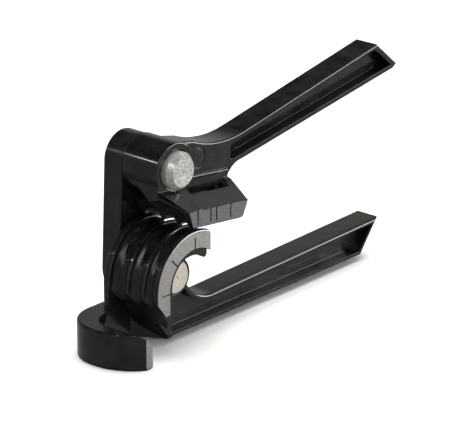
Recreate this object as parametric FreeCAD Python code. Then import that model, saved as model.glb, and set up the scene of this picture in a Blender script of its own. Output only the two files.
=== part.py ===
import FreeCAD, Part
import math
import os

# Pocket tube bender for three tube sizes, made of two cast handles and a side link.
# Lengths are in millimetres. X runs along the lower handle, Y from the front of the
# tool to its back, Z up. Everything is drawn about the axis of the forming die, with
# y = 0 at the ground front face, and moved onto its base at the very end.

V = FreeCAD.Vector
Y_AXIS = V(0, 1, 0)

# tubes and grooves
tube_sizes = (6.0, 8.0, 10.0)
tube_clearance = 0.2        # on a tube's diameter
land_radius = 26.0          # outside of the die between its grooves
tube_line_radius = 26.45    # middle of a bent tube, from the die's axis
front_flange = 2.5          # thickness of the die's front flange at its rim
ridge_widths = (1.6, 1.7)   # between one groove and the next
land_rounding = 0.35
body_back = 34.2            # back faces of both castings

# forming die
ring_inner_radius = 17.3    # inner edge of the ground scale ring
web_inner_radius = 13.2     # inner edge of the die behind the ring
web_front = 2.5             # depth of the step between the two
rim_rounding = 0.8
claw_end_x = 10.7           # the die is cut off upright here
claw_rounding = 2.3
scale_width = 0.75
scale_depth = 0.45
scale_inner = 17.0
scale_outer = 22.7

# lower handle
handle_front = 13.0
handle_back = 27.5
lower_floor = 19.3          # floor of the front pocket
lower_base_z = -29.7
lower_rim = 2.2
chamfer_top = (-26.0, -2.6)     # the sloping left end of the casting
chamfer_foot = (-5.3, -29.7)
pin_boss_radius = 9.4
pin_boss_front = 12.2
head_seat = 14.5            # depth where the pins' heads bear
die_head_radius = 8.5

# tube hook
hook_top_z = -15.0
hook_base_z = -33.0
hook_left_x = -45.4
hook_back_y = 43.3
hook_inner_y = 30.9         # the die's back flange runs straight down into the hook's wall

# side link and pivots
pivot_distance = 52.5
link_lean = 1.2             # degrees from upright, towards the handles
link_top_radius = 12.75
link_low_radius = 14.1      # the strap widens towards the die
link_front = 35.0
link_back = 46.5
link_pocket_radius = 9.2    # sunk seats for the rings at the link's back
link_pocket_floor = 43.5
pin_radius = 5.0
pin_running_gap = 0.05

# upper handle, drawn with its shoe level and then turned to the rest position
shoe_turn = 6.5             # degrees past the 90 mark
shoe_land = 27.0            # underside of the shoe, from the die's axis
shoe_top = 35.15
boss_radius = 13.2
boss_front = 12.9
counterbore_radius = 10.0
grip_tip = (157.3, 83.2)
arm_front = 13.6
upper_floor = 19.6
ejector_centre = (11.2, 55.6)
lip_radius = 0.8
ejector_radii = (5.0, 4.35)


def turned(x, z, degrees):
    """Point turned clockwise about the die's axis, seen from the front."""
    a = math.radians(degrees)
    return (x * math.cos(a) + z * math.sin(a), z * math.cos(a) - x * math.sin(a))


handle_pivot = (pivot_distance * math.sin(math.radians(link_lean)),
                pivot_distance * math.cos(math.radians(link_lean)))
boss_centre = turned(handle_pivot[0], handle_pivot[1], -shoe_turn)


def outline(start, steps, place):
    """Closed face from straight steps (a, b), arcs ((a, b) on the way, (a, b) end)
    and smooth curves [(a, b), (a, b), ...] through all their points."""
    edges = []
    here = start
    for step in steps + [start]:
        if isinstance(step, list):
            curve = Part.BSplineCurve()
            curve.interpolate([place(*point) for point in [here] + step])
            edges.append(curve.toShape())
            here = step[-1]
        elif isinstance(step[0], tuple):
            arc = Part.Arc(place(*here), place(*step[0]), place(*step[1]))
            edges.append(arc.toShape())
            here = step[1]
        elif math.dist(here, step) > 1e-6:
            edges.append(Part.makeLine(place(*here), place(*step)))
            here = step
    return Part.Face(Part.Wire(edges))


def front_prism(start, steps, y0, y1):
    """Front-view outline given depth along Y."""
    face = outline(start, steps, lambda x, z: V(x, y0, z))
    return face.extrude(V(0, y1 - y0, 0))


def plan_prism(start, steps, z0, z1):
    """Top-view outline given height along Z."""
    face = outline(start, steps, lambda x, y: V(x, y, z0))
    return face.extrude(V(0, 0, z1 - z0))


def side_prism(start, steps, x0, x1):
    """Side-view outline (y, z) given length along X."""
    face = outline(start, steps, lambda y, z: V(x0, y, z))
    return face.extrude(V(x1 - x0, 0, 0))


def round_bar(x, z, radius, y0, y1):
    return Part.makeCylinder(radius, y1 - y0, V(x, y0, z), Y_AXIS)


def soften(shape, radius, wanted):
    """Rounds the edges that the test picks out."""
    edges = [edge for edge in shape.Edges if wanted(edge)]
    return shape.makeFillet(radius, edges)


def at_depth(depth):
    """Test for edges that lie flat at one depth y."""
    def check(edge):
        box = edge.BoundBox
        return abs(box.YMin - depth) < 1e-4 and abs(box.YMax - depth) < 1e-4
    return check


def at_height(height):
    def check(edge):
        box = edge.BoundBox
        return abs(box.ZMin - height) < 1e-4 and abs(box.ZMax - height) < 1e-4
    return check


def joined(first, *others):
    return first.fuse(list(others)).removeSplitter()


def groove_list():
    """Depth y of each groove's middle, and its radius."""
    grooves = []
    edge = front_flange
    for tube, ridge in zip(tube_sizes, ridge_widths + (0.0,)):
        radius = (tube + tube_clearance) / 2
        rise = tube_line_radius - (land_radius - land_rounding)
        half = math.sqrt(radius ** 2 - rise ** 2)
        grooves.append((edge + half, radius))
        edge += 2 * half + ridge
    return grooves


def grooved_edge(land, towards):
    """Steps (y, distance from the die's axis) along a grooved face, from front to back.

    land is the face's distance from the axis, and towards is -1 where the grooves
    sink towards the axis (the die) and +1 where they sink away from it (the shoe).
    """
    steps = []
    lip = land + towards * land_rounding
    for middle, radius in groove_list():
        half = math.sqrt(radius ** 2 - (tube_line_radius - lip) ** 2)
        easing = land_rounding * 0.3
        steps.append((middle - half - land_rounding, land))
        steps.append(((middle - half - easing, land + towards * easing), (middle - half, lip)))
        steps.append(((middle, tube_line_radius + towards * radius), (middle + half, lip)))
        steps.append(((middle + half + easing, land + towards * easing),
                      (middle + half + land_rounding, land)))
    return steps


def die_section():
    """Cross-section of the die's rim, standing at its left side."""
    rim = land_radius - rim_rounding
    near = rim_rounding * (1 - math.sqrt(0.5))
    steps = [(ring_inner_radius, web_front), (ring_inner_radius, 0.0), (rim, 0.0),
             ((land_radius - near, near), (land_radius, rim_rounding))]
    steps += [(step[1], step[0]) if not isinstance(step[0], tuple)
              else ((step[0][1], step[0][0]), (step[1][1], step[1][0]))
              for step in grooved_edge(land_radius, -1)]
    steps += [(land_radius, body_back - rim_rounding),
              ((land_radius - near, body_back - near), (rim, body_back)),
              (web_inner_radius, body_back)]
    return outline((web_inner_radius, web_front), steps, lambda r, y: V(-r, y, 0))


def forming_die():
    """Grooved C from the claw over the top to the left side, then straight down."""
    section = die_section()
    curved = section.revolve(V(0, 0, 0), Y_AXIS, 150)
    # the claw's outer corner is an arc that touches the rim and the upright cut
    corner_x = claw_end_x - claw_rounding
    corner_z = math.sqrt((land_radius - claw_rounding) ** 2 - corner_x ** 2)
    reach = land_radius / (land_radius - claw_rounding)
    on_rim = (corner_x * reach, corner_z * reach)
    bisector = math.radians(33)
    on_way = (corner_x + claw_rounding * math.cos(bisector),
              corner_z + claw_rounding * math.sin(bisector))
    tangent_reach = 1.6
    beyond = (on_rim[0] - corner_z * tangent_reach, on_rim[1] + corner_x * tangent_reach)
    lip_z = 10.1
    lip_rounding = 1.8
    lip_x = claw_end_x - lip_rounding
    claw_keep = front_prism(
        (-40, -1),
        [(-40, beyond[1]), beyond, on_rim, (on_way, (claw_end_x, corner_z)),
         (claw_end_x, lip_z + lip_rounding),
         ((lip_x + lip_rounding * math.sqrt(0.5), lip_z + lip_rounding * (1 - math.sqrt(0.5))),
          (lip_x, lip_z)),
         (5, lip_z), (5, -1)],
        -1, body_back + 1)
    curved = curved.common(claw_keep)
    straight = section.extrude(V(0, 0, -32))
    below_ring = front_prism((-27, -10.3), [(-17.9, -10.3), (-10, -9.0), (-10, -40), (-27, -40)],
                             -1, web_front)
    straight = straight.cut(below_ring)
    slope = front_prism(chamfer_top, [chamfer_foot, (-5.3, -40), (-60, -40), (-60, chamfer_top[1])],
                        -1, hook_inner_y)
    straight = straight.cut(slope)
    # the raised wall's foot slopes back to the handle's front
    foot = side_prism((-1, -15.5), [(web_front, -15.5), (handle_front, -23.0),
                                    (handle_front, -40), (-1, -40)], -30, 0)
    straight = straight.cut(foot)
    return joined(curved, straight)


def scale_marks():
    """Engraved lines at 0, 45 and 90 degrees on the ground ring."""
    marks = []
    for angle in (0, 45, 90):
        mark = Part.makeBox(scale_outer - scale_inner, 2 * scale_depth, scale_width,
                            V(-scale_outer, -scale_depth, -scale_width / 2))
        mark.rotate(V(0, 0, 0), Y_AXIS, angle)
        marks.append(mark)
    return Part.makeCompound(marks)


def lower_arm():
    """Lower handle with its pockets, the core inside the die, and the pin boss."""
    bend_x, bend_z, bend_radius = 26.5, 4.2, 20.3
    tip = (152.4, -12.9)
    end_foot = (138.9, lower_base_z)
    top_start = (bend_x + 0.5, bend_z - bend_radius)

    def on_bend(x, radius):
        return (x, bend_z - math.sqrt(radius ** 2 - (x - bend_x) ** 2))

    arm = front_prism(
        chamfer_foot,
        [end_foot, tip, top_start, (on_bend(15, bend_radius), on_bend(7.6, bend_radius)),
         (0, 0), (-13.4, 0), (-13.4, -19.1)],
        handle_front, handle_back)
    arm = soften(arm, 1.5, lambda edge: at_depth(handle_front)(edge) or at_depth(handle_back)(edge))
    inner = bend_radius + 2.8
    rim_left = [(-13.2, -15.5), (-7.0, -23.0), (-3.1, lower_base_z + lower_rim)]
    rim_end = (end_foot[0] - 1.4, lower_base_z + lower_rim)
    rim_tip = (tip[0] - 4.6, tip[1] - lower_rim)
    rim_top = (top_start[0] + 5, top_start[1] - lower_rim)
    pocket = front_prism(
        (-13.2, 16),
        rim_left + [rim_end, rim_tip, rim_top, (on_bend(18, inner), on_bend(7.4, inner)),
                    (3.0, 0), (3.0, 16)],
        handle_front - 1, lower_floor)
    core = front_prism(
        (-3.5, 13.4),
        [((-10.6, 8.9), (-13.8, 0)), (-13.8, -18.5), chamfer_foot, (12, lower_base_z),
         (12, -12), (6, -4), (0, 0), (-3.5, 4)],
        lower_floor, body_back)
    core = core.common(front_prism((-14, -40), [(20, -40), (20, 20), (-14, 20)], 0, body_back))
    back_pocket = front_prism((34, lower_base_z + lower_rim),
                              [(rim_end[0], rim_end[1]), rim_tip, (34, rim_top[1])],
                              handle_back - 4.9, handle_back + 1)
    boss = round_bar(0, 0, pin_boss_radius, pin_boss_front, body_back)
    return arm.cut(pocket).cut(back_pocket), core, boss


def tube_hook():
    """C-shaped strap, open to the front, that holds the tube against the die."""
    outer_corner = 18.4
    outer_x = hook_left_x + outer_corner
    outer_y = hook_back_y - outer_corner
    wall = 7.8
    inner_x = hook_left_x + wall
    inner_corner = 10.0
    inner_turn = hook_inner_y - inner_corner
    half = math.sqrt(0.5)
    strap = plan_prism(
        (-33.5, 0),
        [((-42.24, 10.03), (hook_left_x, 23)), (hook_left_x, outer_y),
         ((outer_x - outer_corner * half, outer_y + outer_corner * half), (outer_x, hook_back_y)),
         (-12, hook_back_y), ((-12 + 7 * half, 36.3 + 7 * half), (-5, 36.3)),
         (-5, hook_inner_y), (inner_x + inner_corner, hook_inner_y),
         ((inner_x + inner_corner * (1 - half), inner_turn + inner_corner * half), (inner_x, inner_turn)),
         ((-35.44, 9.7), (-29.3, 0))],
        hook_base_z, hook_top_z)
    strap = soften(strap, 1.0, lambda edge: at_height(hook_top_z)(edge) or at_height(hook_base_z)(edge))
    rounded_tip = front_prism((-38.5, hook_top_z + 1), [(-20, hook_top_z + 1), (-20, -24.2), (-29.3, -24.2),
                              ((-32.6, -18.3), (-38.8, hook_top_z))], -1, 15)
    # the root thickens into the handle's lower corner
    root = plan_prism((-5.3, 13.2), [(-7.6, 26), ((-9.6, 29.6), (-14, 32)), (-2, 32), (-2, 13.2)], -36, -22)
    root = root.common(side_prism((13, -29.7), [(32, -32.2), (32, -20), (13, -20)], -30, 0))
    return joined(strap.cut(rounded_tip), root)


def lower_handle():
    arm, core, boss = lower_arm()
    casting = joined(forming_die(), arm, core, boss, tube_hook())
    casting = casting.cut(round_bar(0, 0, die_head_radius + 0.15, -1, head_seat))
    casting = casting.cut(round_bar(0, 0, pin_radius, -1, body_back + 1))
    return casting.cut(scale_marks())


def forming_shoe():
    """Grooved block of the upper handle, with its sloping front top."""
    steps = grooved_edge(shoe_land, 1)
    steps += [(body_back - 0.4, shoe_land), (body_back, shoe_land + 0.4), (body_back, shoe_top),
              (0.0, shoe_top), (0.0, shoe_land + 0.4)]
    block = outline((0.4, shoe_land), steps, lambda y, z: V(-20, y, z)).extrude(V(60, 0, 0))
    keep = front_prism((-4.2, shoe_land - 1),
                       [(28.2, shoe_land - 1), (28.2, shoe_land),
                        ((30.0, shoe_land + 0.6), (31.0, shoe_land + 2.0)),
                        (33.2, shoe_top + 0.1), (-7.65, shoe_top + 0.1), (-4.2, shoe_land)],
                       -1, body_back + 1)
    return block.common(keep)


def neck():
    """Left flank and sloping front between the shoe and the boss."""
    bx, bz = boss_centre
    flank = front_prism((bx - boss_radius, bz),
                        [(-15.6, 43.2), (-7.65, shoe_top - 0.1), (33.2, shoe_top - 0.1), (34.1, 42.6),
                         ((33.0, 44.6), (34.4, 46.6)), (20, 52), (bx, bz)], 0, body_back)
    shape = side_prism((0, shoe_top - 0.2), [(0, shoe_top), (arm_front, 43.3), (arm_front, 60),
                       (body_back, 60), (body_back, 49.5), (24.6, shoe_top - 0.2)], -30, 50)
    recess = front_prism((1, 37.6), [(28.0, 37.6), (31.4, 46.3), (4, 46.3)], 8.7, 15.4)
    return flank.common(shape).cut(recess)


def recess_lip():
    """Rounded ledge on the web along the recess's upper edge."""
    return Part.makeCylinder(lip_radius, 28.0, V(4.4, arm_front + 0.1, 46.8), V(1, 0, 0))


def wing():
    """Corner under the boss that joins the shoe's front to the flat left flank."""
    flank_x = -11.0
    plan = plan_prism((-3.6, 0), [(flank_x, 13), (flank_x, body_back), (5, body_back), (5, 0)], 30, 53)
    side = side_prism((0, 34.5), [(0, 35.6), (13, 42.4), (13, 56), (body_back, 56), (body_back, 50.2),
                                  (26, 45.7), (18.3, 38.8), (12.4, 40.9)], -20, 20)
    shape = plan.common(side)
    shape.rotate(V(0, 0, 0), Y_AXIS, -shoe_turn)
    return shape


def ejector_mark():
    """Shallow engraved ring that the casting die's pusher leaves on the web."""
    x, z = ejector_centre
    outer, inner = ejector_radii
    return round_bar(x, z, outer, 0, arm_front + 0.4).cut(round_bar(x, z, inner, -1, body_back))


def upper_arm():
    """Arm plate and grip, with the pocket in the grip's front and back."""
    bx, bz = boss_centre
    end_top = (139.8, 94.75)
    end_foot = (154.4, 80.9)
    arm = front_prism(
        (bx, bz + boss_radius),
        [(8.0, 63.9), ((26.0, 61.4), (42.0, 64.0)), end_top, grip_tip, end_foot, (43.0, 50.4),
         ((36.6, 47.6), (33.8, 44.2)), (30, 40), (-8, 40), (bx - 8, bz)],
        arm_front, handle_back)
    arm = soften(arm, 0.9, lambda edge: at_depth(arm_front)(edge) or at_depth(handle_back)(edge))
    pocket_steps = [(33.6, 58.8), ((33.9, 59.9), (34.8, 60.4)), (42.0, 62.4), (138.4, 92.3), (152.4, 83.0),
                    (37.0, 51.6), ((35.0, 51.6), (34.0, 53.0))]
    pocket = front_prism((34.0, 53.0), pocket_steps, arm_front - 1, upper_floor)
    back_pocket = front_prism((34.0, 53.0), pocket_steps, handle_back - 4.9, handle_back + 1)
    shoulder = plan_prism((bx, arm_front), [(18, arm_front), (18, handle_back), ((11.0, 29.5), (5.0, body_back)),
                          (bx, body_back)], bz - 8, 70)
    wide_arm = front_prism((bx, bz + boss_radius - 0.4), [(4, 62.4), (18, 59.5), (18, bz - 6), (bx, bz - 6)],
                           arm_front, body_back)
    return arm.cut(pocket).cut(back_pocket), wide_arm.common(shoulder)


def shoe_marks():
    """Engraved lines on the shoe's ground front face."""
    marks = []
    for along in (-1.6, 7.3, 11.3, 21.2):
        mark = Part.makeBox(scale_width, 2 * scale_depth, 8, V(-scale_width / 2, -scale_depth, 0))
        mark.rotate(V(0, 0, 0), Y_AXIS, -shoe_turn)
        mark.translate(V(along + 0.4, 0, shoe_land + 1.5))
        marks.append(mark)
    return Part.makeCompound(marks)


def upper_handle():
    bx, bz = boss_centre
    boss = round_bar(bx, bz, boss_radius, boss_front, body_back)
    boss = soften(boss, 0.8, at_depth(boss_front))
    arm, shoulder = upper_arm()
    casting = joined(forming_shoe(), neck(), wing(), recess_lip(), arm, shoulder, boss)
    casting = casting.cut(round_bar(bx, bz, counterbore_radius, -1, head_seat))
    casting = casting.cut(round_bar(bx, bz, pin_radius, -1, body_back + 1))
    casting = casting.cut(shoe_marks()).cut(ejector_mark())
    casting.rotate(V(0, 0, 0), Y_AXIS, shoe_turn)
    return casting


def side_link():
    """Thick strap with round ends, and sunk seats for the pins' rings at the back."""
    low = link_low_radius
    top = link_top_radius
    # both sides are tangent to the two rounded ends
    sine = (low - top) / pivot_distance
    cosine = math.sqrt(1 - sine ** 2)
    reach = pivot_distance
    strap = front_prism(
        (-low * cosine, low * sine),
        [(-top * cosine, reach + top * sine), ((0, reach + top), (top * cosine, reach + top * sine)),
         (low * cosine, low * sine), ((0, -low), (-low * cosine, low * sine))],
        link_front, link_back)
    strap = soften(strap, 0.8, lambda edge: at_depth(link_front)(edge) or at_depth(link_back)(edge))
    for z in (0, reach):
        strap = strap.cut(round_bar(0, z, pin_radius + pin_running_gap, 0, link_back + 1))
        strap = strap.cut(round_bar(0, z, link_pocket_radius, link_pocket_floor, link_back + 1))
    strap.rotate(V(0, 0, 0), Y_AXIS, link_lean)
    return strap


ring_thickness = 1.0
ring_front = link_pocket_floor + 0.95
ring_groove_radius = 4.2
pin_end = 46.2


def pin(x, z, head_front, face_radius, head_radius, chamfer):
    """Headed pivot pin with a ring groove near its back end."""
    head = round_bar(x, z, head_radius, head_front, head_seat)
    bevel = Part.makeCone(face_radius, head_radius, chamfer, V(x, head_front, z), Y_AXIS)
    blank = round_bar(x, z, head_radius + 1, head_front - 1, head_front + chamfer)
    head = head.cut(blank.cut(bevel))
    dimple = Part.makeCone(0.9, 0.1, 0.6, V(x, head_front, z), Y_AXIS)
    shank = round_bar(x, z, pin_radius, head_seat - 1, pin_end)
    shank = soften(shank, 0.5, at_depth(pin_end))
    groove = round_bar(x, z, pin_radius + 1, ring_front, ring_front + ring_thickness)
    groove = groove.cut(round_bar(x, z, ring_groove_radius, ring_front, ring_front + ring_thickness))
    return joined(head, shank).cut(groove).cut(dimple)


def washer(x, z, inner, outer, y0, y1):
    return round_bar(x, z, outer, y0, y1).cut(round_bar(x, z, inner, y0 - 1, y1 + 1))


def retaining_ring(x, z):
    """Flat spring ring, open on one side."""
    ring = washer(x, z, ring_groove_radius, 7.2, ring_front, ring_front + ring_thickness)
    mouth = Part.makeBox(2 * 2.9, 4, 12, V(x - 2.9, ring_front - 1, z - 12.4))
    return ring.cut(mouth)


def build():
    px, pz = handle_pivot
    pieces = {
        "lower_handle": lower_handle(),
        "upper_handle": upper_handle(),
        "side_link": side_link(),
        "die_pin": pin(0, 0, 11.4, 7.4, die_head_radius, 1.2),
        "handle_pin": pin(px, pz, 8.0, 7.1, 9.1, 2.6),
    }
    for name, x, z in (("die", 0, 0), ("handle", px, pz)):
        pieces[name + "_washer"] = washer(x, z, pin_radius + 0.05, 9.6, body_back, link_front - 0.05)
        pieces[name + "_back_washer"] = washer(x, z, pin_radius + 0.05, 8.6, link_pocket_floor + 0.05,
                                               ring_front)
        pieces[name + "_retaining_ring"] = retaining_ring(x, z)
    return pieces


def main():
    os.makedirs("parts", exist_ok=True)
    pieces = build()
    right_x = turned(grip_tip[0], grip_tip[1], shoe_turn)[0]
    # the origin is under the middle of the whole tool, level with the hook's base
    shift = V(-(hook_left_x + right_x) / 2, -link_back / 2, -hook_base_z)
    for name, shape in pieces.items():
        shape.translate(shift)
        shape.exportStep(f"parts/{name}.step")
        print(name, "solids", len(shape.Solids), "valid", shape.isValid(), "volume", round(shape.Volume, 1))
        box = shape.optimalBoundingBox(False)
        corners = (box.XMin, box.XMax, box.YMin, box.YMax, box.ZMin, box.ZMax)
        print("   ", [round(value, 2) for value in corners])
    print("die axis", shift.x, shift.y, shift.z)
    print("handle pivot", handle_pivot[0] + shift.x, shift.y, handle_pivot[1] + shift.z)


main()
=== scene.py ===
import math

import bpy
from mathutils import Matrix, Vector


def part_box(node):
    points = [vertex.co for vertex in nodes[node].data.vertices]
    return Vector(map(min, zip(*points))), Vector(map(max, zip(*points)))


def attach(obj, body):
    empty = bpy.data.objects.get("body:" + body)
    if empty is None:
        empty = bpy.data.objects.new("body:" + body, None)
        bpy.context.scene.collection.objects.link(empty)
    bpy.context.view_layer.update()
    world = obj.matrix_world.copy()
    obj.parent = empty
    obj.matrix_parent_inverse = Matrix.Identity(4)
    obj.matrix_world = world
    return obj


# A pocket tube bender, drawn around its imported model. Lengths are metres unless a name says mm.

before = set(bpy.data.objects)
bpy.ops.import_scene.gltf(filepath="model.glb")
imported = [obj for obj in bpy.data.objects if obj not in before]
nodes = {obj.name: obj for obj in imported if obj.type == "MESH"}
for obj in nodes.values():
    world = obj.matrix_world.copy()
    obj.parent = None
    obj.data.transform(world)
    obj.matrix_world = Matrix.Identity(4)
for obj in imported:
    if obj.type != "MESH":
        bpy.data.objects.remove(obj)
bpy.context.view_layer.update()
mm = 0.001


def fromHex(text):
    # one sRGB hex colour to the linear values that shaders take
    parts = [int(text[i:i + 2], 16) / 255 for i in (1, 3, 5)]
    return tuple(p / 12.92 if p <= 0.04045 else ((p + 0.055) / 1.055) ** 2.4 for p in parts) + (1.0,)


def addNode(tree, kind, settings=None, links=None):
    # adds a node; settings are its properties or input values, links are input name -> output socket
    node = tree.nodes.new(kind)
    for key, value in (settings or {}).items():
        if isinstance(key, str) and hasattr(node, key):
            setattr(node, key, value)
        else:
            node.inputs[key].default_value = value
    for key, socket in (links or {}).items():
        tree.links.new(socket, node.inputs[key])
    return node


def freshMaterial(name):
    material = bpy.data.materials.new(name)
    material.use_nodes = True
    material.node_tree.nodes.clear()
    return material, material.node_tree


def perMm(size):
    # a noise scale whose features are about this many millimetres across
    return 1.0 / (size * mm)


def rampStops(node, stops):
    ramp = node.color_ramp
    while len(ramp.elements) < len(stops):
        ramp.elements.new(0.5)
    for element, (place, colour) in zip(ramp.elements, stops):
        element.position = place
        element.color = fromHex(colour)


def middleOf(nodeName):
    low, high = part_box(nodeName)
    return [(a + b) / 2 for a, b in zip(low, high)]


dieX, _, dieZ = middleOf("die_pin")          # the die's axis
pivotX, _, pivotZ = middleOf("handle_pin")   # the upper handle's axis
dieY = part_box("lower_handle")[0][1]          # depth of the ground front faces


coat = {
    "dark": "#0c0c0c",
    "light": "#1b1b19",
    "linkLight": "#1a1a1b",
    "cloudMm": 9.0,        # slow change of the gloss from place to place
    "peelMm": 1.6,         # ripples left by the sprayed coat
    "gritMm": 0.35,        # cast grain that shows through
    "peelHeight": 0.012,
    "gritHeight": 0.006,
    "roughLow": 0.14,
    "roughHigh": 0.27,
    "edgeMm": 0.4,         # the coat draws back to this radius on sharp edges
    "groundDepthMm": 0.06,   # faces within this depth of the front were ground bare
    "dieReachMm": 27.0,      # lathe marks stop at this radius
    "latheStepMm": 1.7,      # drawn coarser than on a real die, so that they show
    "latheHeight": 0.10,
    "sheen": 0.35,
    "sheenRough": 0.06,
}

ground = {
    "dieLight": "#c4c3c0",
    "dieDark": "#93928f",
    "shoeLight": "#8f8e90",
    "shoeDark": "#5f5e60",
    "pit": "#1c1c1b",
    "scratchMm": 0.25,
    "scratchStretch": 0.08,   # the grinder's scratches are long in one direction
    "scratchTurn": 0.35,      # radians
    "scratchHeight": 0.008,
    "pitMm": 0.7,
    "roughLow": 0.30,
    "roughHigh": 0.52,
}


def coatedCasting(name, tint, groundFront=None, latheCentre=None):
    # die-cast alloy with a stoved gloss black coat: ripples, cast grain, thin bright edges;
    # the front faces are ground bare afterwards and keep fine scratches and dark pits
    material, tree = freshMaterial(name)
    place = addNode(tree, "ShaderNodeTexCoord").outputs["Object"]
    cloud = addNode(tree, "ShaderNodeTexNoise",
                    {"Scale": perMm(coat["cloudMm"]), "Detail": 4.0, "Roughness": 0.6}, {"Vector": place})
    grain = addNode(tree, "ShaderNodeTexNoise", {"Scale": perMm(coat["gritMm"]), "Detail": 3.0},
                    {"Vector": place})
    peel = addNode(tree, "ShaderNodeTexNoise", {"Scale": perMm(coat["peelMm"]), "Detail": 2.0},
                   {"Vector": place})
    colour = addNode(tree, "ShaderNodeValToRGB", None, {"Fac": cloud.outputs["Fac"]})
    rampStops(colour, [(0.35, coat["dark"]), (0.7, tint)])
    rough = addNode(tree, "ShaderNodeMapRange",
                    {"From Min": 0.35, "From Max": 0.7,
                     "To Min": coat["roughLow"], "To Max": coat["roughHigh"]},
                    {"Value": cloud.outputs["Fac"]})
    peelBump = addNode(tree, "ShaderNodeBump", {"Strength": 0.5, "Distance": coat["peelHeight"] * mm},
                       {"Height": peel.outputs["Fac"]})
    gritBump = addNode(tree, "ShaderNodeBump", {"Strength": 0.6, "Distance": coat["gritHeight"] * mm},
                       {"Height": grain.outputs["Fac"], "Normal": peelBump.outputs["Normal"]})
    under = gritBump.outputs["Normal"]
    if latheCentre:
        # the die was turned before it was coated, so the tool's steps run round its grooves
        parts = addNode(tree, "ShaderNodeSeparateXYZ", None, {"Vector": place}).outputs
        across = addNode(tree, "ShaderNodeMath", {"operation": "SUBTRACT", 1: latheCentre[0]},
                         {0: parts["X"]})
        upward = addNode(tree, "ShaderNodeMath", {"operation": "SUBTRACT", 1: latheCentre[1]},
                         {0: parts["Z"]})
        flat = addNode(tree, "ShaderNodeCombineXYZ", None,
                       {"X": across.outputs["Value"], "Y": upward.outputs["Value"]})
        reach = addNode(tree, "ShaderNodeVectorMath", {"operation": "LENGTH"}, {0: flat.outputs["Vector"]})
        onDie = addNode(tree, "ShaderNodeMath", {"operation": "LESS_THAN", 1: coat["dieReachMm"] * mm},
                        {0: reach.outputs["Value"]})
        perStep = perMm(coat["latheStepMm"]) * 2 * math.pi
        turns = addNode(tree, "ShaderNodeMath", {"operation": "MULTIPLY", 1: perStep}, {0: parts["Y"]})
        wave = addNode(tree, "ShaderNodeMath", {"operation": "SINE"}, {0: turns.outputs["Value"]})
        broken = addNode(tree, "ShaderNodeMath", {"operation": "MULTIPLY"},
                         {0: wave.outputs["Value"], 1: cloud.outputs["Fac"]})
        marks = addNode(tree, "ShaderNodeMath", {"operation": "MULTIPLY"},
                        {0: broken.outputs["Value"], 1: onDie.outputs["Value"]})
        lathe = addNode(tree, "ShaderNodeBump", {"Strength": 1.0, "Distance": coat["latheHeight"] * mm},
                        {"Height": marks.outputs["Value"], "Normal": under})
        under = lathe.outputs["Normal"]
    edges = addNode(tree, "ShaderNodeBevel", {"samples": 6, "Radius": coat["edgeMm"] * mm}, {"Normal": under})
    black = addNode(tree, "ShaderNodeBsdfPrincipled",
                    {"IOR": 1.5, "Coat Weight": coat["sheen"], "Coat Roughness": coat["sheenRough"]},
                    {"Base Color": colour.outputs["Color"], "Roughness": rough.outputs["Result"],
                     "Normal": edges.outputs["Normal"]})
    surface = black.outputs["BSDF"]
    if groundFront:
        along = addNode(tree, "ShaderNodeMapping",
                        {"Scale": (ground["scratchStretch"], 1.0, 1.0),
                         "Rotation": (0.0, ground["scratchTurn"], 0.0)}, {"Vector": place})
        scratch = addNode(tree, "ShaderNodeTexNoise", {"Scale": perMm(ground["scratchMm"]), "Detail": 3.0},
                          {"Vector": along.outputs["Vector"]})
        pits = addNode(tree, "ShaderNodeTexNoise", {"Scale": perMm(ground["pitMm"]), "Detail": 4.0,
                                                    "Roughness": 0.7}, {"Vector": place})
        bare = addNode(tree, "ShaderNodeValToRGB", None, {"Fac": scratch.outputs["Fac"]})
        rampStops(bare, [(0.3, groundFront[0]), (0.62, groundFront[1])])
        pitMask = addNode(tree, "ShaderNodeMapRange", {"From Min": 0.30, "From Max": 0.37,
                                                       "To Min": 1.0, "To Max": 0.0},
                          {"Value": pits.outputs["Fac"]})
        pitted = addNode(tree, "ShaderNodeMix", {"data_type": "RGBA", "B": fromHex(ground["pit"])},
                         {"Factor": pitMask.outputs["Result"], "A": bare.outputs["Color"]})
        scratchBump = addNode(tree, "ShaderNodeBump",
                              {"Strength": 0.4, "Distance": ground["scratchHeight"] * mm},
                              {"Height": scratch.outputs["Fac"]})
        roughBare = addNode(tree, "ShaderNodeMapRange",
                            {"To Min": ground["roughLow"], "To Max": ground["roughHigh"]},
                            {"Value": scratch.outputs["Fac"]})
        metal = addNode(tree, "ShaderNodeBsdfPrincipled", {"Metallic": 1.0},
                        {"Base Color": pitted.outputs["Result"], "Roughness": roughBare.outputs["Result"],
                         "Normal": scratchBump.outputs["Normal"]})
        depth = addNode(tree, "ShaderNodeSeparateXYZ", None, {"Vector": place})
        atFront = addNode(tree, "ShaderNodeMath",
                          {"operation": "LESS_THAN", 1: dieY + coat["groundDepthMm"] * mm},
                          {0: depth.outputs["Y"]})
        mixed = addNode(tree, "ShaderNodeMixShader", None, {0: atFront.outputs["Value"], 1: surface,
                                                            2: metal.outputs["BSDF"]})
        surface = mixed.outputs["Shader"]
    addNode(tree, "ShaderNodeOutputMaterial", None, {"Surface": surface})
    return material


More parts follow.
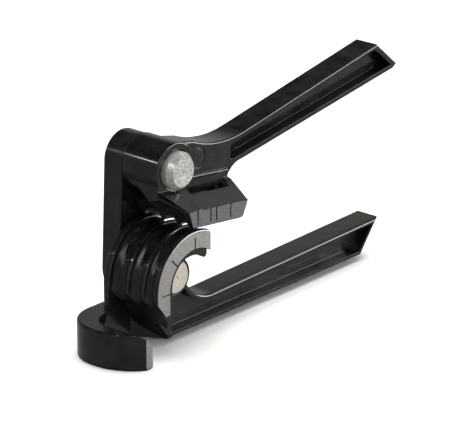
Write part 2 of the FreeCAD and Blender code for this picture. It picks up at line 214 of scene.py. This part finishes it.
# the finish of each steel piece; bumpMm is the depth of its grain
steels = {
    # pale zinc plate with a matt skin: an even, slightly warm disc
    "dullPlated": {"name": "dull plated steel pin", "light": "#dcd6c9", "dark": "#bdb7aa", "grainMm": 0.5,
                   "roughLow": 0.42, "roughHigh": 0.6, "bumpMm": 0.006, "metallic": 0.8},
    # bare steel off the lathe: bright, with fine rings about the pin's middle
    "brightTurned": {"name": "bright turned steel pin", "light": "#e4e3df", "dark": "#a9a8a4", "grainMm": 0.6,
                     "roughLow": 0.18, "roughHigh": 0.38, "bumpMm": 0.012, "metallic": 0.7},
    # black oxide under oil: dark and half glossy
    "oiledSteel": {"name": "black oiled steel washer", "light": "#3a3a3c", "dark": "#1a1a1b", "grainMm": 0.5,
                   "roughLow": 0.3, "roughHigh": 0.5, "bumpMm": 0.01, "metallic": 1.0},
    # zinc plate: cool grey with a cloudy shine
    "zincPlated": {"name": "zinc plated steel washer", "light": "#c3c5c6", "dark": "#8d9092", "grainMm": 0.8,
                   "roughLow": 0.25, "roughHigh": 0.42, "bumpMm": 0.01, "metallic": 1.0},
    # phosphate on spring steel: dark grey and nearly matt
    "springSteel": {"name": "phosphated spring steel", "light": "#4a4a4b", "dark": "#232324", "grainMm": 0.5,
                    "roughLow": 0.35, "roughHigh": 0.55, "bumpMm": 0.01, "metallic": 1.0},
}
latheRingMm = 0.5
latheRingShare = 0.25   # how strong the rings are beside the grain


def steelFinish(look, ringCentre=None):
    # steel with the marks of how it was made: lathe rings about a centre, or an even fine grain
    material, tree = freshMaterial(look["name"])
    place = addNode(tree, "ShaderNodeTexCoord").outputs["Object"]
    grain = addNode(tree, "ShaderNodeTexNoise", {"Scale": perMm(look["grainMm"]), "Detail": 4.0},
                    {"Vector": place})
    height = grain.outputs["Fac"]
    if ringCentre:
        centred = addNode(tree, "ShaderNodeMapping",
                          {"Location": (-ringCentre[0], 0.0, -ringCentre[1]), "Scale": (1.0, 0.0, 1.0)},
                          {"Vector": place})
        reach = addNode(tree, "ShaderNodeVectorMath", {"operation": "LENGTH"},
                        {0: centred.outputs["Vector"]})
        wave = addNode(tree, "ShaderNodeMath",
                       {"operation": "MULTIPLY", 1: 2 * math.pi * perMm(latheRingMm)},
                       {0: reach.outputs["Value"]})
        rings = addNode(tree, "ShaderNodeMath", {"operation": "SINE"}, {0: wave.outputs["Value"]})
        both = addNode(tree, "ShaderNodeMath", {"operation": "MULTIPLY_ADD", 1: latheRingShare},
                       {0: rings.outputs["Value"], 2: grain.outputs["Fac"]})
        height = both.outputs["Value"]
    colour = addNode(tree, "ShaderNodeValToRGB", None, {"Fac": grain.outputs["Fac"]})
    rampStops(colour, [(0.3, look["dark"]), (0.68, look["light"])])
    rough = addNode(tree, "ShaderNodeMapRange", {"To Min": look["roughLow"], "To Max": look["roughHigh"]},
                    {"Value": grain.outputs["Fac"]})
    bump = addNode(tree, "ShaderNodeBump", {"Strength": 0.5, "Distance": look["bumpMm"] * mm},
                   {"Height": height})
    metal = addNode(tree, "ShaderNodeBsdfPrincipled", {"Metallic": look["metallic"]},
                    {"Base Color": colour.outputs["Color"], "Roughness": rough.outputs["Result"],
                     "Normal": bump.outputs["Normal"]})
    addNode(tree, "ShaderNodeOutputMaterial", None, {"Surface": metal.outputs["BSDF"]})
    return material


lowerCoat = coatedCasting("gloss coated die-cast alloy, ground die ring", coat["light"],
                          (ground["dieDark"], ground["dieLight"]), (dieX, dieZ))
upperCoat = coatedCasting("gloss coated die-cast alloy, ground shoe", coat["light"],
                          (ground["shoeDark"], ground["shoeLight"]))
linkCoat = coatedCasting("gloss coated die-cast alloy, link", coat["linkLight"])
dullPlated = steelFinish(steels["dullPlated"])
brightTurned = steelFinish(steels["brightTurned"], (pivotX, pivotZ))
oiledSteel = steelFinish(steels["oiledSteel"])
zincPlated = steelFinish(steels["zincPlated"])
springSteel = steelFinish(steels["springSteel"])

finishes = {
    "lower_handle": lowerCoat, "upper_handle": upperCoat, "side_link": linkCoat,
    "die_pin": dullPlated, "handle_pin": brightTurned,
    "die_washer": oiledSteel, "handle_washer": oiledSteel,
    "die_back_washer": zincPlated, "handle_back_washer": zincPlated,
    "die_retaining_ring": springSteel, "handle_retaining_ring": springSteel,
}
for nodeName, finish in finishes.items():
    mesh = nodes[nodeName].data
    mesh.materials.clear()
    mesh.materials.append(finish)
print("finishes on", len(finishes), "pieces")


# ribs pressed round the bevel of the handle pin's head
handlePinHead = {
    "ribs": 34,
    "ribWidthMm": 0.30,
    "ribHeightMm": 0.10,
    "faceRadiusMm": 7.1,
    "headRadiusMm": 9.1,
    "bevelMm": 2.6,        # depth of the bevel behind the face
    "ribReach": 0.86,      # part of the bevel's slope that a rib covers
}
# rings that the lathe left on the pins' faces
turningMarks = {
    "handle": {"pin": "handle_pin", "body": "upper", "slot": "turned_pin", "finish": brightTurned,
               "firstMm": 1.9, "stepMm": 0.85, "rings": 6},
    "die": {"pin": "die_pin", "body": "lower", "slot": "plated_pin", "finish": dullPlated,
            "firstMm": 1.9, "stepMm": 1.05, "rings": 5},
}
markWidthMm = 0.06
markSink = 0.4            # part of its width that a ring stands behind the face


def newTree(name, inputs):
    # a geometry tree with named sizes and one geometry output
    tree = bpy.data.node_groups.new(name, "GeometryNodeTree")
    for label, kind, value in inputs:
        tree.interface.new_socket(label, in_out="INPUT", socket_type=kind).default_value = value
    tree.interface.new_socket("Geometry", in_out="OUTPUT", socket_type="NodeSocketGeometry")
    return tree, addNode(tree, "NodeGroupInput").outputs


def grown(name, tree, settings, place, finish):
    # runs a geometry tree on an empty mesh and keeps the result as a plain mesh at the origin
    seed = bpy.data.objects.new(name + "Seed", bpy.data.meshes.new(name + "Seed"))
    bpy.context.scene.collection.objects.link(seed)
    modifier = seed.modifiers.new("grow", "NODES")
    modifier.node_group = tree
    for item in tree.interface.items_tree:
        if item.in_out == "INPUT" and item.name in settings:
            modifier[item.identifier] = settings[item.name]
    bpy.context.view_layer.update()
    evaluated = seed.evaluated_get(bpy.context.evaluated_depsgraph_get())
    mesh = bpy.data.meshes.new_from_object(evaluated)
    mesh.transform(place)
    bpy.data.objects.remove(seed)
    mesh.materials.clear()
    mesh.materials.append(finish)
    piece = bpy.data.objects.new(name, mesh)
    bpy.context.scene.collection.objects.link(piece)
    return piece


def ribTree(finish):
    # bars spread round a cone, one for each point of a circle
    tree, sizes = newTree("ribs round a bevel", [
        ("Count", "NodeSocketInt", 24), ("Radius", "NodeSocketFloat", 0.008),
        ("Length", "NodeSocketFloat", 0.003), ("Width", "NodeSocketFloat", 0.0003),
        ("Height", "NodeSocketFloat", 0.0001), ("Tilt", "NodeSocketFloat", 0.9)])
    circle = addNode(tree, "GeometryNodeMeshCircle", None,
                     {"Vertices": sizes["Count"], "Radius": sizes["Radius"]})
    size = addNode(tree, "ShaderNodeCombineXYZ", None,
                   {"X": sizes["Length"], "Y": sizes["Width"], "Z": sizes["Height"]})
    bar = addNode(tree, "GeometryNodeMeshCube", None, {"Size": size.outputs["Vector"]})
    index = addNode(tree, "GeometryNodeInputIndex")
    share = addNode(tree, "ShaderNodeMath", {"operation": "DIVIDE"},
                    {0: index.outputs["Index"], 1: sizes["Count"]})
    angle = addNode(tree, "ShaderNodeMath", {"operation": "MULTIPLY", 1: 2 * math.pi},
                    {0: share.outputs["Value"]})
    turned = addNode(tree, "ShaderNodeCombineXYZ", None, {"Y": sizes["Tilt"], "Z": angle.outputs["Value"]})
    bars = addNode(tree, "GeometryNodeInstanceOnPoints", None,
                   {"Points": circle.outputs["Mesh"], "Instance": bar.outputs["Mesh"],
                    "Rotation": turned.outputs["Vector"]})
    real = addNode(tree, "GeometryNodeRealizeInstances", None, {"Geometry": bars.outputs["Instances"]})
    painted = addNode(tree, "GeometryNodeSetMaterial", {"Material": finish},
                      {"Geometry": real.outputs["Geometry"]})
    addNode(tree, "NodeGroupOutput", None, {"Geometry": painted.outputs["Geometry"]})
    return tree


def ringTree(finish):
    # raised rings of equal width about one centre, each a step wider than the last
    tree, sizes = newTree("turning rings", [
        ("Count", "NodeSocketInt", 6), ("First", "NodeSocketFloat", 0.002),
        ("Step", "NodeSocketFloat", 0.0008), ("Width", "NodeSocketFloat", 0.00006)])
    dots = addNode(tree, "GeometryNodeMeshLine", {"Offset": (0.0, 0.0, 0.0)}, {"Count": sizes["Count"]})
    index = addNode(tree, "GeometryNodeInputIndex")
    radius = addNode(tree, "ShaderNodeMath", {"operation": "MULTIPLY_ADD"},
                     {0: index.outputs["Index"], 1: sizes["Step"], 2: sizes["First"]})
    loop = addNode(tree, "GeometryNodeCurvePrimitiveCircle", {"Resolution": 72, "Radius": 1.0})
    loops = addNode(tree, "GeometryNodeInstanceOnPoints", None,
                    {"Points": dots.outputs["Mesh"], "Instance": loop.outputs["Curve"],
                     "Scale": radius.outputs["Value"]})
    real = addNode(tree, "GeometryNodeRealizeInstances", None, {"Geometry": loops.outputs["Instances"]})
    wire = addNode(tree, "GeometryNodeCurvePrimitiveCircle", {"Resolution": 6}, {"Radius": sizes["Width"]})
    swept = addNode(tree, "GeometryNodeCurveToMesh", None,
                    {"Curve": real.outputs["Geometry"], "Profile Curve": wire.outputs["Curve"]})
    painted = addNode(tree, "GeometryNodeSetMaterial", {"Material": finish},
                      {"Geometry": swept.outputs["Mesh"]})
    addNode(tree, "NodeGroupOutput", None, {"Geometry": painted.outputs["Geometry"]})
    return tree


def onFace(pin, depthMm):
    # turns a tree's upward axis to the front and moves it to a pin's face
    x, _, z = middleOf(pin)
    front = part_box(pin)[0][1]
    return Matrix.Translation((x, front + depthMm * mm, z)) @ Matrix.Rotation(math.pi / 2, 4, "X")


bevelRun = handlePinHead["headRadiusMm"] - handlePinHead["faceRadiusMm"]
ribs = grown("handlePinRibs", ribTree(brightTurned), {
    "Count": handlePinHead["ribs"],
    "Radius": (handlePinHead["faceRadiusMm"] + bevelRun / 2) * mm,
    "Length": math.hypot(bevelRun, handlePinHead["bevelMm"]) * handlePinHead["ribReach"] * mm,
    "Width": handlePinHead["ribWidthMm"] * mm,
    "Height": 2 * handlePinHead["ribHeightMm"] * mm,
    "Tilt": math.atan2(handlePinHead["bevelMm"], bevelRun),
}, onFace("handle_pin", handlePinHead["bevelMm"] / 2), brightTurned)
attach(ribs, "upper")

for markName, mark in turningMarks.items():
    rings = grown(markName + "PinTurningMarks", ringTree(mark["finish"]), {
        "Count": mark["rings"], "First": mark["firstMm"] * mm, "Step": mark["stepMm"] * mm,
        "Width": markWidthMm * mm,
    }, onFace(mark["pin"], markWidthMm * markSink), mark["finish"])
    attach(rings, mark["body"])
print("turning marks and ribs on both pins")


# floor, light and camera
studio = {
    "floorSize": 4.0,
    "floorColour": "#f4f4f2",
    "floorShade": "#f1f1ef",
    "paperMm": 60.0,
    "roomBand": [(0.12, "#303030"), (0.30, "#ffffff"), (0.66, "#fffdf4"), (0.78, "#3a3a3c")],
    "roomStrength": 0.36,
    "leftStrength": 0.20,  # the room is dimmer on the left
    "lens": 222.7,
    "azimuth": 48.65,
    "elevation": 20.5,
    "distance": 1.3,
    "acrossMm": 14.80,     # how far the view's middle lies right of the die's axis
    "aboveMm": 31.55,      # and above it
    "sensor": 36.0,
}

floorMesh = bpy.data.meshes.new("floor")
half = studio["floorSize"] / 2
floorMesh.from_pydata([(-half, -half, 0), (half, -half, 0), (half, half, 0), (-half, half, 0)],
                      [], [(0, 1, 2, 3)])
floor = bpy.data.objects.new("floor", floorMesh)
bpy.context.scene.collection.objects.link(floor)
# matt white paper: an even pale ground that takes soft shadows
paper, paperTree = freshMaterial("white paper floor")
paperPlace = addNode(paperTree, "ShaderNodeTexCoord").outputs["Object"]
paperGrain = addNode(paperTree, "ShaderNodeTexNoise", {"Scale": perMm(studio["paperMm"])},
                     {"Vector": paperPlace})
paperColour = addNode(paperTree, "ShaderNodeValToRGB", None, {"Fac": paperGrain.outputs["Fac"]})
rampStops(paperColour, [(0.3, studio["floorShade"]), (0.7, studio["floorColour"])])
paperShade = addNode(paperTree, "ShaderNodeBsdfPrincipled", {"Roughness": 0.9},
                     {"Base Color": paperColour.outputs["Color"]})
addNode(paperTree, "ShaderNodeOutputMaterial", None, {"Surface": paperShade.outputs["BSDF"]})
floorMesh.materials.append(paper)
floor.visible_glossy = False   # the coat mirrors the dim room, not the white paper

# a dim band of room around the bench, dark towards the ceiling and under it
world = bpy.data.worlds.new("soft white room")
world.use_nodes = True
roomTree = world.node_tree
roomTree.nodes.clear()
heading = addNode(roomTree, "ShaderNodeTexCoord").outputs["Generated"]
split = addNode(roomTree, "ShaderNodeSeparateXYZ", None, {"Vector": heading})
height = addNode(roomTree, "ShaderNodeMapRange", {"From Min": -1.0, "From Max": 1.0},
                 {"Value": split.outputs["Z"]})
band = addNode(roomTree, "ShaderNodeValToRGB", None, {"Fac": height.outputs["Result"]})
rampStops(band, studio["roomBand"])
side = addNode(roomTree, "ShaderNodeMapRange",
               {"From Min": -0.8, "From Max": 0.4, "To Min": studio["leftStrength"],
                "To Max": studio["roomStrength"]}, {"Value": split.outputs["X"]})
roomLight = addNode(roomTree, "ShaderNodeBackground", None,
                    {"Color": band.outputs["Color"], "Strength": side.outputs["Result"]})
addNode(roomTree, "ShaderNodeOutputWorld", None, {"Surface": roomLight.outputs["Background"]})
bpy.context.scene.world = world

# size is width and height in metres; mirrored lamps also show as highlights on the coat
lamps = {
    "overhead": {"place": (0.1, 0.1, 1.3), "aim": (0.0, 0.0, 0.0), "size": (1.4, 1.4), "power": 36.0,
                 "mirrored": False},
    "backLeftSpot": {"place": (-0.75, 0.663, 0.50), "aim": (-0.06, 0.0, 0.07), "size": (0.017, 0.03),
                     "power": 0.12, "mirrored": True},
    "frontLeftHigh": {"place": (-0.60, -0.80, 0.62), "aim": (-0.05, 0.0, 0.06), "size": (0.5, 0.5),
                      "power": 1.6, "mirrored": True},
    "frontLeftStrip": {"place": (-0.60, -0.80, 0.62), "aim": (-0.05, 0.0, 0.06), "size": (0.03, 0.5),
                       "power": 0.6, "mirrored": True},
    "leftStrip": {"place": (-1.00, -0.15, 0.60), "aim": (-0.05, 0.0, 0.06), "size": (0.03, 0.4),
                  "power": 0.5, "mirrored": True},
    "frontTop": {"place": (0.75, -0.48, 0.78), "aim": (0.0, 0.0, 0.06), "size": (0.30, 0.12), "power": 0.5,
                 "mirrored": True},
    "rightHigh": {"place": (0.85, 0.05, 0.85), "aim": (0.0, 0.0, 0.05), "size": (0.6, 0.6), "power": 0.5,
                  "mirrored": True},
    "frontRight": {"place": (0.75, -0.70, 0.16), "aim": (-0.05, 0.0, 0.06), "size": (0.8, 0.3),
                   "power": 8.0, "mirrored": True},
}
for lampName, lamp in lamps.items():
    light = bpy.data.lights.new(lampName, "AREA")
    light.shape = "RECTANGLE"
    light.size, light.size_y = lamp["size"]
    light.energy = lamp["power"]
    lampObject = bpy.data.objects.new(lampName, light)
    lampObject.location = lamp["place"]
    lampObject.visible_glossy = lamp["mirrored"]
    aim = Vector(lamp["aim"]) - Vector(lamp["place"])
    lampObject.rotation_euler = aim.to_track_quat("-Z", "Y").to_euler()
    bpy.context.scene.collection.objects.link(lampObject)

turn = math.radians(studio["azimuth"])
lift = math.radians(studio["elevation"])
sight = Vector((math.sin(turn) * math.cos(lift), math.cos(turn) * math.cos(lift), -math.sin(lift)))
right = Vector((math.cos(turn), -math.sin(turn), 0.0))
upward = Vector((math.sin(turn) * math.sin(lift), math.cos(turn) * math.sin(lift), math.cos(lift)))
camera = bpy.data.objects.new("camera", bpy.data.cameras.new("camera"))
camera.data.lens = studio["lens"]
camera.data.sensor_width = studio["sensor"]
camera.data.clip_start = 0.05
camera.data.clip_end = 20.0
camera.location = (Vector((dieX, dieY, dieZ)) + right * studio["acrossMm"] * mm
                   + upward * studio["aboveMm"] * mm - sight * studio["distance"])
camera.rotation_euler = Matrix((right, upward, -sight)).transposed().to_euler()
bpy.context.scene.collection.objects.link(camera)
bpy.context.scene.camera = camera
bpy.context.scene.view_settings.view_transform = "Standard"
print("floor, lamps and camera in place")
